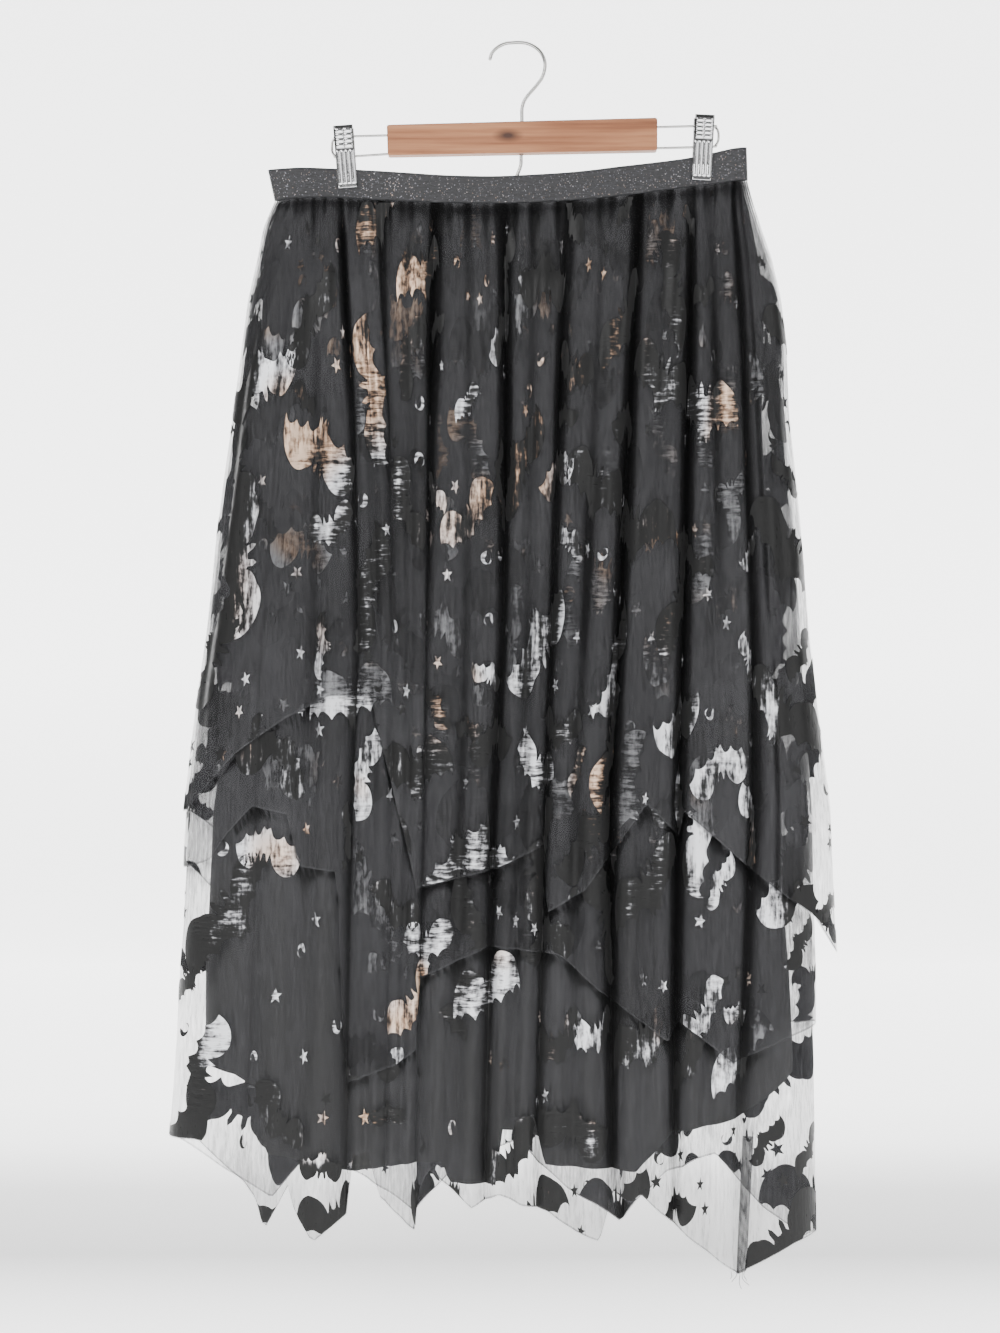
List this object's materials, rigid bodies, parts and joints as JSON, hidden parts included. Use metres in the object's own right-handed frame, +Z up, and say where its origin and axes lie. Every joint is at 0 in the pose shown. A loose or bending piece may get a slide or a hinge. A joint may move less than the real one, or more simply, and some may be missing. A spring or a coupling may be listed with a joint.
{
  "type": "tulle midi skirt on clip hanger",
  "caption": "Gathered tulle midi skirt with three handkerchief-hem tiers, a lining and an elastic waistband, hung by two clips from a wooden hanger.",
  "frame": {"origin": "the point inside the top of the hook's crook where it rests on a rail", "axes": "+Z up, +X to the viewer's right along the waistband, the skirt's front faces -Y"},
  "size_m": [0.6026, 0.1258, 1.0992],
  "materials": {
    "band_elastic": "ribbed elastic with fine silver glitter",
    "tulle_upper": "soft black net with silver foil print",
    "tulle_middle": "soft black net with silver foil print",
    "tulle_lower": "soft black net with silver foil print",
    "lining_cloth": "matte black woven lining",
    "bar_wood": "satin lacquer",
    "hook_steel": "bright plated wire",
    "clip_chrome": "bright plated sheet"
  },
  "bodies": {
    "root": {"waistband": "band_elastic", "upper_tier_front": "tulle_upper", "upper_tier_back": "tulle_upper", "middle_tier_front": "tulle_middle", "middle_tier_back": "tulle_middle", "lower_tier_front": "tulle_lower", "lower_tier_back": "tulle_lower", "lining_front": "lining_cloth", "lining_back": "lining_cloth", "hanger_bar": "bar_wood", "hanger_hook": "hook_steel", "clip_loop_left": "hook_steel", "clip_loop_right": "hook_steel", "clip_front_left": "clip_chrome", "clip_front_right": "clip_chrome", "clip_back_left": "clip_chrome", "clip_back_right": "clip_chrome", "clip_spring_left": "hook_steel", "clip_spring_right": "hook_steel"}
  },
  "joints": []
}
